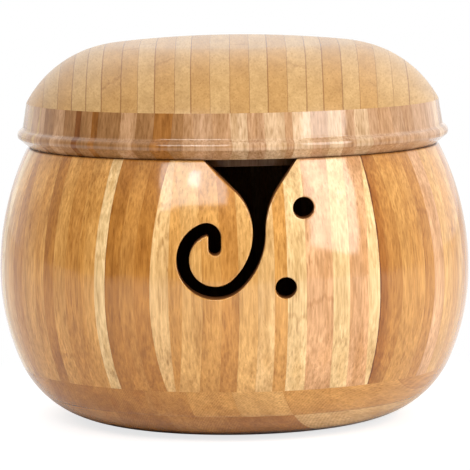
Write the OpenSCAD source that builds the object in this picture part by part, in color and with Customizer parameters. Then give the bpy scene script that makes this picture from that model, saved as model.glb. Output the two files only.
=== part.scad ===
// Yarn dispenser box: a round bowl turned from glued bamboo boards, with a lift-off domed lid.
// The yarn is fed through a slot that starts as a funnel at the mouth and ends in a curl.
// Millimetres. The foot stands on z = 0, the axis is Z and the slot faces -Y.

/* [Bowl] */
// Widest radius of the bowl
belly_r = 76; // [72:0.5:80]
// Height of the widest place
belly_h = 48; // [46:0.5:50]
// How far the mouth lies inside the widest radius
mouth_in = 9.6; // [7:0.2:12]
// Height of the mouth, where the lid rests
mouth_h = 88.4; // [86:0.2:92]
// Thickness of the turned wall
wall_t = 8; // [6.5:0.5:9]
// Rounding of the mouth edge, outside and inside
mouth_ease = 1.2; // [0.6:0.1:2]
// Boards glued up to make the wall
wall_boards = 7; // [7]
// Bearing of the wall joint on the right of the slot
wall_joint = 36; // [33:0.5:38]

/* [Base] */
// How far the edge of the flat foot lies inside the widest radius
foot_in = 35; // [33:0.5:37]
// Rounding between the foot and the wall
foot_round = 31.4; // [29:0.2:33]
// Thickness of each of the two base plies
ply_t = 8.7; // [8:0.1:9.5]
// Height of the floor inside
floor_h = 11; // [10:0.5:13]
// Rounding between the floor and the wall inside
floor_round = 20; // [14:0.5:24]
// Width of the middle board of each ply
ply_board_w = 54; // [48:0.5:60]
// Place of the joint on the left of that board, measured across the boards
ply_joint = -12.5; // [-20:0.5:-5]
// Turn of the boards away from front to back
ply_turn = 25; // [15:1:35]

/* [Yarn slot] */
// Width of the slot
slot_w = 3.9; // [3:0.1:4.6]
// Sideways place of the middle of the curl
curl_x = -5.9; // [-6.5:0.1:-5]
// Height of the middle of the curl
curl_h = 58.5; // [57:0.1:60]
// Radius of the curl on its centre line
curl_r = 9.8; // [9.4:0.1:10.4]
// Height of the hook at the inner end above the middle of the curl
hook_rise = 6.9; // [6.6:0.1:7.1]
// Length of the straight tail inside the curl
tail_l = 3.4; // [2:0.1:4]
// Radius of the sweep that leads from the curl up to the neck
sweep_r = 21.1; // [19:0.1:23]
// Bearing on the curl where that sweep begins
sweep_from = 312; // [308:0.5:316]
// Rounding on the left of the funnel
funnel_left_r = 16.5; // [14:0.5:18]
// Lean of the left side of the funnel
funnel_left_lean = 45.5; // [40:0.5:48]
// Rounding on the right of the funnel
funnel_right_r = 23; // [20:0.5:26]
// Lean of the right side of the funnel
funnel_right_lean = 35; // [30:0.5:38]

/* [Needle holes] */
// Width of each needle hole
needle_d = 6.5; // [5:0.1:7.5]
// Places of the needle holes, sideways and up
needle_places = [[21.2, 73.7], [15.6, 49.9]];

/* [Lid] */
// Height of the rim ring above the mouth
rim_h = 14.2; // [13:0.2:15.4]
// How far the top of the rim ring reaches past the mouth
rim_top_out = 0.2; // [-0.4:0.1:0.6]
// How far the ring reaches past the mouth just above its bead
rim_low_out = 1.4; // [0.8:0.1:2]
// Radius of the bead section
bead_r = 2.1; // [1.6:0.1:2.4]
// How far the bead reaches past the mouth
bead_out = 3.2; // [2.6:0.1:3.6]
// Height of the middle of the bead above the mouth
bead_rise = 3.9; // [3.4:0.1:4.4]
// Hollow above the bead
cove_r = 1.2; // [0.8:0.1:1.6]
// Height of the whole box
box_h = 123.4; // [122:0.1:125]
// Radius of the shallow crown
crown_r = 358; // [300:2:420]
// Radius of the shoulder of the dome
shoulder_r = 36; // [34:0.2:38]
// Thickness of the dome
dome_t = 9; // [7:0.5:11]
// Boards glued up to make the rim ring
rim_boards = 7; // [7]
// Bearing of a joint of the rim ring
rim_joint = 38.5; // [30:0.5:44]

/* [Fit of the lid] */
// Depth of the lip below the mouth
lip_h = 2.8; // [2:0.1:4]
// Play all round between the lip and the mouth
lip_play = 0.5; // [0.3:0.1:1]
// Width of the lip
lip_t = 6.5; // [4.5:0.5:8]

/* [Hidden] */
$fn = 72;
reach = 200;
// Two arcs that meet cross by this much, so that they share one clean edge
crossing = 0.004;

// Radii of the mouth and the foot
mouth_r = belly_r - mouth_in;
foot_r = belly_r - foot_in;

// Centres and radii of the arcs of the wall, outside
upper_r = thousandths((pow(mouth_h - belly_h, 2) + pow(belly_r - mouth_r, 2)) / (2 * (belly_r - mouth_r)));
upper_x = belly_r - upper_r;
swell = belly_r - foot_r;
drop = belly_h - foot_round;
lower_r = thousandths((swell * swell + drop * drop - foot_round * foot_round) / (2 * (swell - foot_round)));
lower_x = belly_r - lower_r;
meet_h = belly_h - lower_r * drop / (lower_r - foot_round);
function thousandths(x) = round(x * 1000) / 1000;

// The same arcs inside, one wall thickness nearer the axis
floor_drop = belly_h - floor_h - floor_round;
inner_lower_r = lower_r - wall_t;
floor_r = lower_x + sqrt(pow(inner_lower_r - floor_round, 2) - pow(floor_drop, 2));
inner_meet_h = belly_h - inner_lower_r * floor_drop / (inner_lower_r - floor_round);
mouth_in_r = upper_x + sqrt(pow(upper_r - wall_t, 2) - pow(mouth_h - belly_h, 2));

// Mouth edge: middle of each rounding and the bearing where it meets the wall
ease_h = mouth_h - mouth_ease;
ease_out_x = upper_x + crossing + sqrt(pow(upper_r - mouth_ease, 2) - pow(ease_h - belly_h, 2));
ease_out_a = atan2(ease_h - belly_h, ease_out_x - upper_x);
ease_in_x = upper_x - crossing + sqrt(pow(upper_r - wall_t + mouth_ease, 2) - pow(ease_h - belly_h, 2));
ease_in_a = 180 + atan2(ease_h - belly_h, ease_in_x - upper_x);

// Base
wall_foot_h = 2 * ply_t;

// Yarn slot: the hook touches the curl from inside, the sweep touches it from outside
hook_h = curl_h + hook_rise;
hook_r = (curl_r * curl_r - hook_rise * hook_rise) / (2 * curl_r);
hook_a = atan2(hook_rise, -hook_r);
sweep_x = curl_x + (curl_r - sweep_r) * cos(sweep_from);
sweep_h = curl_h + (curl_r - sweep_r) * sin(sweep_from);
neck_left = sweep_x + sweep_r - slot_w / 2;
neck_right = neck_left + slot_w;

// Lid: the shoulder arc passes through the top of the rim ring and touches the crown from inside
ring_top = mouth_h + rim_h;
rim_top_r = mouth_r + rim_top_out;
rim_low_r = mouth_r + rim_low_out;
bead_h = mouth_h + bead_rise;
bead_x = mouth_r + bead_out - bead_r;
crown_h = box_h - crown_r;
rim_far = sqrt(rim_top_r * rim_top_r + pow(ring_top - crown_h, 2));
rim_lean = atan2(rim_top_r, ring_top - crown_h);
arc_gap = crown_r - shoulder_r;
arc_lean = acos((arc_gap * arc_gap - shoulder_r * shoulder_r + rim_far * rim_far) / (2 * arc_gap * rim_far));
shoulder_a = rim_lean - arc_lean;
shoulder_x = arc_gap * sin(shoulder_a);
shoulder_h = crown_h + arc_gap * cos(shoulder_a);
lip_r = mouth_in_r - lip_play;
lip_in_r = lip_r - lip_t;
cove_x = rim_low_r + cove_r;
cove_h = bead_h - crossing + sqrt(pow(bead_r + cove_r, 2) - pow(cove_x - bead_x, 2));

// Part of a turned ring between two bearings. A bearing is 0 in front and grows to the right.
module between(from, to) {
    middle = (from + to) / 2;
    intersection() {
        children();
        translate([0, 0, -1])
            linear_extrude(box_h + 2)
                polygon([
                    [0, 0],
                    [reach * sin(from), -reach * cos(from)],
                    [2 * reach * sin(middle), -2 * reach * cos(middle)],
                    [reach * sin(to), -reach * cos(to)]
                ]);
    }
}

// Flat strip of the half section between two heights
module band(low, high, from = 0) {
    translate([from, low])
        square([reach, high - low]);
}

// Disc of the half section
module disc(x, h, r) {
    translate([x, h])
        circle(r);
}

// Lower half of a bowl section: the wall arc, and the rounding that joins it to a flat below
module bowl_lower(wall_arc_r, round_x, low, rounding, meet) {
    intersection() {
        disc(lower_x, belly_h, wall_arc_r);
        band(low, belly_h);
        union() {
            disc(round_x + crossing, low + rounding, rounding);
            band(meet, belly_h);
            translate([0, low])
                square([round_x + crossing, meet - low]);
        }
    }
}

// Half section of the solid bowl, from the foot to the mouth
module bowl_outside() {
    intersection() {
        disc(upper_x, belly_h, upper_r);
        band(belly_h, mouth_h);
    }
    bowl_lower(lower_r, foot_r, 0, foot_round, meet_h);
}

// Half section of the space inside the bowl
module bowl_inside() {
    intersection() {
        disc(upper_x, belly_h, upper_r - wall_t);
        band(belly_h, mouth_h + 1);
    }
    bowl_lower(inner_lower_r, floor_r, floor_h, floor_round, inner_meet_h);
}

// What the rounding takes off one edge of the mouth
module mouth_waste(x, bearing, side) {
    difference() {
        translate([x, ease_h])
            polygon([
                [0, 0],
                [wall_t * cos(bearing), wall_t * sin(bearing)],
                [wall_t * side, wall_t],
                [0, wall_t]
            ]);
        disc(x, ease_h, mouth_ease);
    }
}

module bowl_section() {
    difference() {
        bowl_outside();
        bowl_inside();
        mouth_waste(ease_out_x, ease_out_a, 1);
        mouth_waste(ease_in_x, ease_in_a, -1);
    }
}

module turned_bowl(low, high) {
    rotate_extrude()
        intersection() {
            bowl_section();
            band(low, high);
        }
}

// Points along an arc, without the point it starts from
function turn(x, h, r, from, to, steps) =
    [for (i = [1 : steps]) [x + r * cos(from + (to - from) * i / steps), h + r * sin(from + (to - from) * i / steps)]];

// One side of the curl and its hook, from the tail up to the neck. Side is 1 outside and -1 inside.
function curl_side(side) = concat(
    [[curl_x + side * slot_w / 2, hook_h - tail_l], [curl_x + side * slot_w / 2, hook_h]],
    turn(curl_x - hook_r, hook_h, hook_r + side * slot_w / 2, 0, hook_a, 20),
    turn(curl_x, curl_h, curl_r + side * slot_w / 2, hook_a, sweep_from, 44),
    turn(sweep_x, sweep_h, sweep_r + side * slot_w / 2, sweep_from, 360, 20)
);

// The whole slot as seen from the front
module slot_shape() {
    top = mouth_h + 2;
    left_turn = turn(neck_left - funnel_left_r, sweep_h, funnel_left_r, 0, funnel_left_lean, 14);
    right_turn = turn(neck_right + funnel_right_r, sweep_h, funnel_right_r, 180, 180 - funnel_right_lean, 14);
    left_end = left_turn[len(left_turn) - 1];
    right_end = right_turn[len(right_turn) - 1];
    outer_side = curl_side(1);
    tail_end = turn(curl_x, hook_h - tail_l, slot_w / 2, 0, -180, 18);
    polygon(concat(
        curl_side(-1),
        left_turn,
        [[left_end[0] - (top - left_end[1]) * tan(funnel_left_lean), top]],
        [[right_end[0] + (top - right_end[1]) * tan(funnel_right_lean), top]],
        reversed(right_turn),
        reversed(outer_side),
        [for (i = [0 : len(tail_end) - 2]) tail_end[i]]
    ));
}

function reversed(points) = [for (i = [len(points) - 1 : -1 : 0]) points[i]];

// Everything that is cut through the front board
module front_cuts() {
    translate([0, -belly_r / 2, 0])
        rotate([90, 0, 0])
            linear_extrude(belly_r) {
                slot_shape();
                for (place = needle_places)
                    disc(place[0], place[1], needle_d / 2);
            }
}

module wall_board(i) {
    step = 360 / wall_boards;
    color(i % 2 == 0 ? "burlywood" : "tan")
        between(wall_joint + (i - 1) * step, wall_joint + i * step)
            turned_bowl(wall_foot_h, mouth_h);
}

module front_board() {
    difference() {
        wall_board(0);
        front_cuts();
    }
}

// Board of a base ply that lies between two distances across the boards
module ply_board(low, from, to) {
    color(from == ply_joint ? "peru" : "sandybrown")
        intersection() {
            turned_bowl(low, low + ply_t);
            rotate([0, 0, -ply_turn])
                translate([from, -reach, -1])
                    cube([to - from, 2 * reach, box_h]);
        }
}

module ply_left(low) {
    ply_board(low, -reach, ply_joint);
}

module ply_middle(low) {
    ply_board(low, ply_joint, ply_joint + ply_board_w);
}

module ply_right(low) {
    ply_board(low, ply_joint + ply_board_w, reach);
}

// Upper half of a lid section: the crown arc and the shoulder that rounds it off
module dome(inset, low) {
    intersection() {
        disc(0, crown_h, crown_r - inset);
        band(low, box_h);
        union() {
            disc(shoulder_x + crossing, shoulder_h, shoulder_r - inset);
            translate([0, low])
                square([(crown_r - inset) * sin(shoulder_a), reach]);
        }
    }
}

// Half section of the solid lid, without its lip
module lid_outside() {
    dome(0, ring_top);
    polygon([
        [0, mouth_h],
        [mouth_r - mouth_ease / 2, mouth_h],
        [bead_x + bead_r * cos(-25), bead_h + bead_r * sin(-25)],
        [bead_x, bead_h],
        [rim_low_r, cove_h],
        [rim_top_r, ring_top],
        [0, ring_top]
    ]);
    disc(bead_x, bead_h, bead_r);
    difference() {
        polygon([
            [bead_x, bead_h],
            [cove_x, cove_h],
            [rim_low_r, cove_h]
        ]);
        disc(cove_x, cove_h, cove_r);
    }
}

// Half section of the space inside the lid
module lid_inside() {
    intersection() {
        union() {
            dome(dome_t, shoulder_h);
            translate([0, mouth_h - lip_h - 1])
                square([lip_in_r, shoulder_h - mouth_h + lip_h + 2]);
        }
        translate([0, mouth_h - lip_h - 1])
            square([lip_in_r, reach]);
    }
}

module lid_section() {
    difference() {
        union() {
            lid_outside();
            translate([0, mouth_h - lip_h])
                square([lip_r, lip_h]);
        }
        lid_inside();
    }
}

module turned_lid(low, high) {
    rotate_extrude()
        intersection() {
            lid_section();
            band(low, high);
        }
}

module rim_board(i) {
    step = 360 / rim_boards;
    color(i % 2 == 0 ? "rosybrown" : "tan")
        between(rim_joint + (i - 1) * step, rim_joint + i * step)
            turned_lid(mouth_h - lip_h, ring_top);
}

module lid_top() {
    color("wheat")
        turned_lid(ring_top, box_h);
}
ply_left(0);  // lower_ply_left
ply_middle(0);  // lower_ply_middle
ply_right(0);  // lower_ply_right
ply_left(ply_t);  // upper_ply_left
ply_middle(ply_t);  // upper_ply_middle
ply_right(ply_t);  // upper_ply_right
front_board();  // wall_front
wall_board(1);  // wall_2
wall_board(2);  // wall_3
wall_board(3);  // wall_4
wall_board(4);  // wall_5
wall_board(5);  // wall_6
wall_board(6);  // wall_7
rim_board(0);  // rim_front
rim_board(1);  // rim_2
rim_board(2);  // rim_3
rim_board(3);  // rim_4
rim_board(4);  // rim_5
rim_board(5);  // rim_6
rim_board(6);  // rim_7
lid_top();
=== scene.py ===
"""Studio picture of a turned bamboo yarn dispenser box with a lift-off lid.

Every board of the box is a mesh of its own that stands for the CAD node of the same name.
Forms are in millimetres, with bearings in degrees: 0 in front, growing to the right.
Materials, lamps and camera are in metres.
"""

from __future__ import annotations

import logging
import math
import random
from dataclasses import dataclass, field
from enum import Enum

import bmesh
import bpy
import numpy as np
from mathutils import Matrix, Vector
from mathutils.geometry import delaunay_2d_cdt


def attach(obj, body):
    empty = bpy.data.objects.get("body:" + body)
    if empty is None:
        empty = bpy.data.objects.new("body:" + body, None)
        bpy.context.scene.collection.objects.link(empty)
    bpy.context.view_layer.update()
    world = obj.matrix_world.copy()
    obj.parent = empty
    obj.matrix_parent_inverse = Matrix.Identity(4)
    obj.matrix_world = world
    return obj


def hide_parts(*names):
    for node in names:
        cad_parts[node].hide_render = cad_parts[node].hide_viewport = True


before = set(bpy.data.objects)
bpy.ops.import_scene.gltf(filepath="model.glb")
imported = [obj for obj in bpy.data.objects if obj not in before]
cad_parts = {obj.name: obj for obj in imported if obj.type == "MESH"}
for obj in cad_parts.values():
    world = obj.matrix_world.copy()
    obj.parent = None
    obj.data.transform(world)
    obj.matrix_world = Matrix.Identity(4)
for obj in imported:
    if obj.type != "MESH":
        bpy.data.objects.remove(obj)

LOG = logging.getLogger("yarn_box")
MM = 0.001
SAME_SPOT = 1e-5  # millimetres between two spots that are one
WHITE = (1.0, 1.0, 1.0, 1.0)

FRONT, LEFT, RIGHT = 0, 6, 1
"""Places in a ring of the boards that are seen from the front."""

Point = tuple[float, float, float]
Colour = tuple[float, float, float, float]
Spot = tuple[float, float, float, float]
"""A point of a half section and its outward normal: radius, height, normal out, normal up."""


def linear(code: str) -> Colour:
    """Turn an sRGB hex code into a linear colour.

    Args:
        code: Six hex digits, such as "C79A5B".

    Returns:
        Red, green, blue and an alpha of one.
    """
    channels = [int(code[i:i + 2], 16) / 255 for i in (0, 2, 4)]
    curve = [c / 12.92 if c <= 0.04045 else ((c + 0.055) / 1.055) ** 2.4 for c in channels]
    return curve[0], curve[1], curve[2], 1.0


def on_bearing(radius: float, height: float, bearing: float) -> Point:
    """Place a point of a half section at a bearing.

    Args:
        radius: Distance from the axis.
        height: Height above the foot.
        bearing: Bearing in degrees.

    Returns:
        X, Y and Z in the same unit.
    """
    turn = math.radians(bearing)
    return radius * math.sin(turn), -radius * math.cos(turn), height


def arc(x: float, z: float, r: float, start: float, end: float,
        side: int = 1, step: float = 1.0) -> list[Spot]:
    """Sample an arc of a half section.

    Args:
        x: Radius of the arc's centre from the axis.
        z: Height of the arc's centre.
        r: Radius of the arc.
        start: Angle it starts at, in degrees from outward.
        end: Angle it ends at.
        side: 1 where the wood lies inside the arc, -1 where it lies outside.
        step: Longest distance between two points.

    Returns:
        The points with their normals.
    """
    count = max(2, math.ceil(abs(math.radians(end - start)) * r / step))
    spots = []
    for i in range(count + 1):
        turn = math.radians(start + (end - start) * i / count)
        out, up = math.cos(turn), math.sin(turn)
        spots.append((x + r * out, z + r * up, side * out, side * up))
    return spots


def onward(a: tuple[float, float], b: tuple[float, float], normal: tuple[float, float],
           count: int) -> list[Spot]:
    """Sample a straight stretch after its first point.

    Args:
        a: Place it starts at.
        b: Place it ends at.
        normal: The way out of the wood.
        count: Number of points.

    Returns:
        The points with their normals.
    """
    return [(a[0] + (b[0] - a[0]) * i / count, a[1] + (b[1] - a[1]) * i / count, *normal)
            for i in range(1, count + 1)]


def line(a: tuple[float, float], b: tuple[float, float], step: float = 4.0) -> list[Spot]:
    """Sample a straight stretch of a half section. The wood lies on its left.

    Args:
        a: Radius and height it starts at.
        b: Radius and height it ends at.
        step: Longest distance between two points.

    Returns:
        The points with their normals.
    """
    run, rise = b[0] - a[0], b[1] - a[1]
    length = math.hypot(run, rise)
    normal = (rise / length, -run / length)
    return [(*a, *normal)] + onward(a, b, normal, max(1, math.ceil(length / step)))


def climb(height: float, centre: float, radius: float) -> float:
    """Find the angle at which an arc reaches a height.

    Args:
        height: The height.
        centre: Height of the arc's centre.
        radius: Radius of the arc.

    Returns:
        Degrees from outward.
    """
    return math.degrees(math.asin(max(-1.0, min(1.0, (height - centre) / radius))))


class Board:
    """Mesh of one piece, gathered face by face with the normals it should be shaded with."""

    def __init__(self, node: str) -> None:
        """Start an empty mesh.

        Args:
            node: Name of the CAD node that the piece stands for.
        """
        self.node = node
        self.points: list[Point] = []
        self.faces: list[tuple[int, ...]] = []
        self.normals: list[Point] = []
        self.finishes: list[int] = []

    def point(self, x: float, y: float, z: float) -> int:
        """Add a point.

        Args:
            x: Place to the right.
            y: Place to the back.
            z: Height.

        Returns:
            Its number.
        """
        self.points.append((x, y, z))
        return len(self.points) - 1

    def face(self, corners: list[int], normals: list[Point], finish: int = 0) -> None:
        """Add a face, turned so that it faces the way its normals do.

        Args:
            corners: Numbers of its points.
            normals: One normal for each corner.
            finish: Place of its finish in the piece's list.
        """
        kept = [i for i in range(len(corners)) if corners[i] != corners[i - 1]]
        corners = [corners[i] for i in kept]
        normals = [normals[i] for i in kept]
        if len(corners) < 3:
            return
        spots = [Vector(self.points[c]) for c in corners]
        area = Vector((0.0, 0.0, 0.0))
        for i in range(len(spots)):
            area += (spots[i - 1] - spots[0]).cross(spots[i] - spots[0])
        if area.dot(sum((Vector(n) for n in normals), Vector((0.0, 0.0, 0.0)))) < 0:
            corners.reverse()
            normals.reverse()
        self.faces.append(tuple(corners))
        self.normals.extend(normals)
        self.finishes.append(finish)

    def flat(self, corners: list[int], normal: Point, finish: int = 0) -> None:
        """Add a flat face.

        Args:
            corners: Numbers of its points.
            normal: The way it faces.
            finish: Place of its finish in the piece's list.
        """
        self.face(list(corners), [normal] * len(corners), finish)

    def turn(self, stretches: list[list[Spot]], start: float, end: float,
             step: float = 1.5) -> None:
        """Turn a closed half section through a sector.

        Args:
            stretches: Smooth runs of the half section, end to end.
            start: Bearing the sector starts at.
            end: Bearing it ends at. A full turn closes on itself.
            step: Largest bearing between two columns.
        """
        whole = end - start == 360
        columns = max(3, math.ceil((end - start) / step))
        bearings = [start + (end - start) * i / columns for i in range(columns + 1)]
        spots: list[tuple[float, float]] = []
        rows: list[tuple[int, int, Spot, Spot]] = []
        for stretch in stretches:
            numbers = []
            for spot in stretch:
                if not spots or math.dist(spots[-1], spot[:2]) > SAME_SPOT:
                    spots.append((max(0.0, spot[0]), spot[1]))
                numbers.append(len(spots) - 1)
            rows += zip(numbers, numbers[1:], stretch, stretch[1:])
        if math.dist(spots[0], spots[-1]) < 10 * SAME_SPOT:
            spots.pop()
        count = len(spots)
        grid: list[list[int]] = []
        for bearing in bearings[:-1] if whole else bearings:
            grid.append([
                grid[0][j] if grid and radius < SAME_SPOT
                else self.point(*on_bearing(radius, height, bearing))
                for j, (radius, height) in enumerate(spots)])
        if whole:
            grid.append(grid[0])
        for i in range(columns):
            for low, high, spot_low, spot_high in rows:
                ring = ((low, spot_low, i), (low, spot_low, i + 1),
                        (high, spot_high, i + 1), (high, spot_high, i))
                self.face([grid[k][place % count] for place, _, k in ring],
                          [on_bearing(spot[2], spot[3], bearings[k]) for _, spot, k in ring])
        if not whole:
            self.flat(grid[0], on_bearing(-1.0, 0.0, start + 90))
            self.flat(grid[-1], on_bearing(1.0, 0.0, end + 90))

    def build(self, materials: list[bpy.types.Material]) -> bpy.types.Object:
        """Make the Blender object.

        Args:
            materials: Finishes of the piece.

        Returns:
            The object, linked to the scene.
        """
        name = self.node + "_dressed"
        mesh = bpy.data.meshes.new(name)
        mesh.from_pydata([(x * MM, y * MM, z * MM) for x, y, z in self.points], [], self.faces)
        for material in materials:
            mesh.materials.append(material)
        mesh.polygons.foreach_set("material_index", self.finishes)
        mesh.polygons.foreach_set("use_smooth", [True] * len(self.faces))
        mesh.update()
        mesh.normals_split_custom_set([tuple(Vector(n).normalized()) for n in self.normals])
        piece = bpy.data.objects.new(name, mesh)
        bpy.context.scene.collection.objects.link(piece)
        return piece


class Slot(Enum):
    """Material slots of the record, one for each kind of bamboo board."""

    WALL = "wall_bamboo"
    PLY = "ply_bamboo"
    RIM = "rim_bamboo"
    DOME = "dome_bamboo"


def stand_for(piece: bpy.types.Object, node: str, body: str) -> None:
    """Let a piece ride on its body and stand for its CAD node.

    Args:
        piece: The piece.
        node: Name of the CAD node.
        body: Name of the body.
    """
    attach(piece, body)
    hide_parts(node)
    LOG.info("%s: %d faces", node, len(piece.data.polygons))


def sector(joint: float, boards: int, index: int) -> tuple[float, float]:
    """Find where a board of a ring starts and ends.

    Args:
        joint: Bearing of the front board's right joint.
        boards: Number of boards in the ring.
        index: Place of the board, 0 in front and growing to the right.

    Returns:
        Bearings of its two joints.
    """
    pitch = 360 / boards
    return joint + (index - 1) * pitch, joint + index * pitch


@dataclass(frozen=True)
class BowlForm:
    """Sizes of the turned bowl."""

    belly_r: float = 76.0
    belly_h: float = 48.0
    mouth_r: float = 66.4
    mouth_h: float = 88.4
    wall_t: float = 8.0
    ease: float = 1.2
    foot_r: float = 41.0
    foot_round: float = 31.4
    ply_t: float = 8.7
    floor_h: float = 11.0
    floor_round: float = 20.0

    @property
    def upper_r(self) -> float:
        """Radius of the wall's upper arc."""
        rise, swell = self.mouth_h - self.belly_h, self.belly_r - self.mouth_r
        return (rise * rise + swell * swell) / (2 * swell)

    @property
    def lower_r(self) -> float:
        """Radius of the wall's lower arc."""
        swell, drop = self.belly_r - self.foot_r, self.belly_h - self.foot_round
        return (swell * swell + drop * drop - self.foot_round ** 2) / (
            2 * (swell - self.foot_round))

    @property
    def wall_foot(self) -> float:
        """Height of the joint between wall and base."""
        return 2 * self.ply_t

    @property
    def floor_x(self) -> float:
        """Radius at which the rounding of the floor starts."""
        drop = self.belly_h - self.floor_h - self.floor_round
        reach = self.lower_r - self.wall_t - self.floor_round
        return self.belly_r - self.lower_r + math.sqrt(reach * reach - drop * drop)

    def skin(self, low: float, high: float, inset: float = 0.0) -> list[Spot]:
        """Sample the wall between two heights, upwards.

        Args:
            low: Height it starts at.
            high: Height it ends at.
            inset: 0 outside, the wall's thickness inside.

        Returns:
            The points with their normals.
        """
        side = -1 if inset else 1
        upper, lower = self.upper_r - inset, self.lower_r - inset
        upper_x, lower_x = self.belly_r - self.upper_r, self.belly_r - self.lower_r
        corner_x, corner_h, corner_r = self.foot_r, self.foot_round, self.foot_round
        if inset:
            corner_x, corner_r = self.floor_x, self.floor_round
            corner_h = self.floor_h + corner_r
        meet = -math.degrees(math.asin((self.belly_h - corner_h) / (lower - corner_r)))
        spots: list[Spot] = []
        start = climb(low, corner_h, corner_r)
        if start < meet:
            end = min(meet, climb(high, corner_h, corner_r))
            spots += arc(corner_x, corner_h, corner_r, start, end, side)
            if end < meet:
                return spots
            low = spots[-1][1]
        if low < self.belly_h:
            spots += arc(lower_x, self.belly_h, lower, climb(low, self.belly_h, lower), 0, side)
        if high > self.belly_h:
            spots += arc(upper_x, self.belly_h, upper, 0, climb(high, self.belly_h, upper), side)
        return spots

    def mouth(self) -> tuple[list[Spot], list[Spot], list[Spot]]:
        """Sample the mouth edge, from outside to inside.

        Returns:
            The outer rounding, the flat and the inner rounding.
        """
        upper_x, ease_h = self.belly_r - self.upper_r, self.mouth_h - self.ease
        rise = ease_h - self.belly_h
        out_r, in_r = self.upper_r - self.ease, self.upper_r - self.wall_t + self.ease
        out_x = upper_x + math.sqrt(out_r * out_r - rise * rise)
        in_x = upper_x + math.sqrt(in_r * in_r - rise * rise)
        out_a = math.degrees(math.asin(rise / out_r))
        in_a = math.degrees(math.asin(rise / in_r))
        return (
            arc(out_x, ease_h, self.ease, out_a, 90, 1, 0.3),
            line((out_x, self.mouth_h), (in_x, self.mouth_h), 1.0),
            arc(in_x, ease_h, self.ease, 90, 180 + in_a, 1, 0.3),
        )


@dataclass(frozen=True)
class LidForm:
    """Sizes of the turned lid."""

    ring_h: float = 14.2
    ring_top_r: float = 66.6
    ring_low_r: float = 67.8
    bead_r: float = 2.1
    bead_reach: float = 69.6
    bead_rise: float = 3.9
    bead_from: float = -25.0
    cove_r: float = 1.2
    top_h: float = 123.4
    crown_r: float = 358.0
    shoulder_r: float = 36.0
    dome_t: float = 9.0
    lip_h: float = 2.8
    lip_play: float = 0.5
    lip_t: float = 6.5

    def shoulder(self, ring_top: float) -> tuple[float, float, float]:
        """Find the shoulder arc, which touches the crown from inside and ends at the ring.

        Args:
            ring_top: Height of the joint between ring and dome.

        Returns:
            Radius and height of its centre, and the tilt of the line on which it meets the crown.
        """
        crown_h = self.top_h - self.crown_r
        far = math.hypot(self.ring_top_r, ring_top - crown_h)
        gap = self.crown_r - self.shoulder_r
        lean = math.atan2(self.ring_top_r, ring_top - crown_h)
        lean -= math.acos((gap * gap - self.shoulder_r ** 2 + far * far) / (2 * gap * far))
        return gap * math.sin(lean), crown_h + gap * math.cos(lean), math.degrees(lean)


class Tone(Enum):
    """Bare wood colours of the bamboo strips."""

    CREAM = "E0BB84"
    STRAW = "D7AB70"
    HONEY = "CE9B59"
    GOLD = "C68E49"
    AMBER = "B97F3C"
    RUST = "AC712F"
    ROSE = "D19E6E"
    WALNUT = "935E29"
    UMBER = "7A471D"
    MOCHA = "966A40"
    TAN = "AD825A"
    DUST = "B68D68"
    PALE = "C3A07A"
    OAT = "BC955F"
    WHEAT = "B5894F"


Strip = tuple[float, Tone]
"""A bamboo strip: thickness in millimetres and colour."""


class Tint(Enum):
    """What a mark on the wood, or painted shade, multiplies its colour by."""

    STAIN = (0.80, 0.66, 0.40, 1.0)
    SOAKED = (0.66, 0.48, 0.26, 1.0)
    JOINT = (0.34, 0.19, 0.09, 1.0)
    STREAK = (0.42, 0.28, 0.12, 1.0)
    FLECK = (0.62, 0.48, 0.30, 1.0)
    NODE_MARK = (0.60, 0.46, 0.28, 1.0)
    # The last three are painted shade: inside, on the lid's lip and in corners.
    INSIDE_SHADE = (0.55, 0.48, 0.42, 1.0)
    LIP_SHADE = (0.15, 0.10, 0.07, 1.0)
    CORNER = (0.20, 0.11, 0.06, 1.0)


@dataclass(frozen=True)
class Pattern:
    """Noise drawn out along the fibres, and the range that it is mapped to."""

    across: float  # repeats per metre
    along: float  # repeats per metre
    detail: float = 3.0
    rough: float = 0.5
    low: float = 0.0
    high: float = 1.0
    at_low: float = 0.0
    at_high: float = 1.0


class Grain(Enum):
    """Patterns of the wood, with the size of one repeat. All are at the scale of real bamboo."""

    FIBRE = Pattern(1700, 160, 3.0, 0.65, 0.25, 0.75, 0.84, 1.12)  # 0.6 by 6 mm
    CLOUD = Pattern(190, 22, 3.0, 0.5, 0.3, 0.7, 0.86, 1.1)  # 5 by 45 mm
    STRAND = Pattern(520, 26, 3.0, 0.6, 0.3, 0.7, 0.88, 1.08)  # 2 by 38 mm
    STAIN = Pattern(150, 16, 3.0, 0.5, 0.48, 0.72)  # 7 by 63 mm
    SOAK = Pattern(700, 90, 3.0, 0.65)  # 1.4 by 11 mm
    FRAY = Pattern(900, 260, 2.0, 0.6)  # 1.1 by 4 mm
    STREAK = Pattern(900, 46, 2.0, 0.5, 0.56, 0.66)  # 1.1 by 22 mm
    PATCH = Pattern(110, 26, 1.0, 0.5, 0.52, 0.66)  # 9 by 38 mm
    FLECK = Pattern(2000, 260, 2.0, 0.5, 0.63, 0.74, 0.0, 0.6)  # 0.5 by 4 mm
    RAGGED = Pattern(420, 20, 3.0, 0.7)  # 2.4 by 50 mm
    SWAY = Pattern(120, 25, 2.0)  # 8 by 40 mm
    CUT = Pattern(1200, 60, 3.0)  # 0.8 by 17 mm


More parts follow.
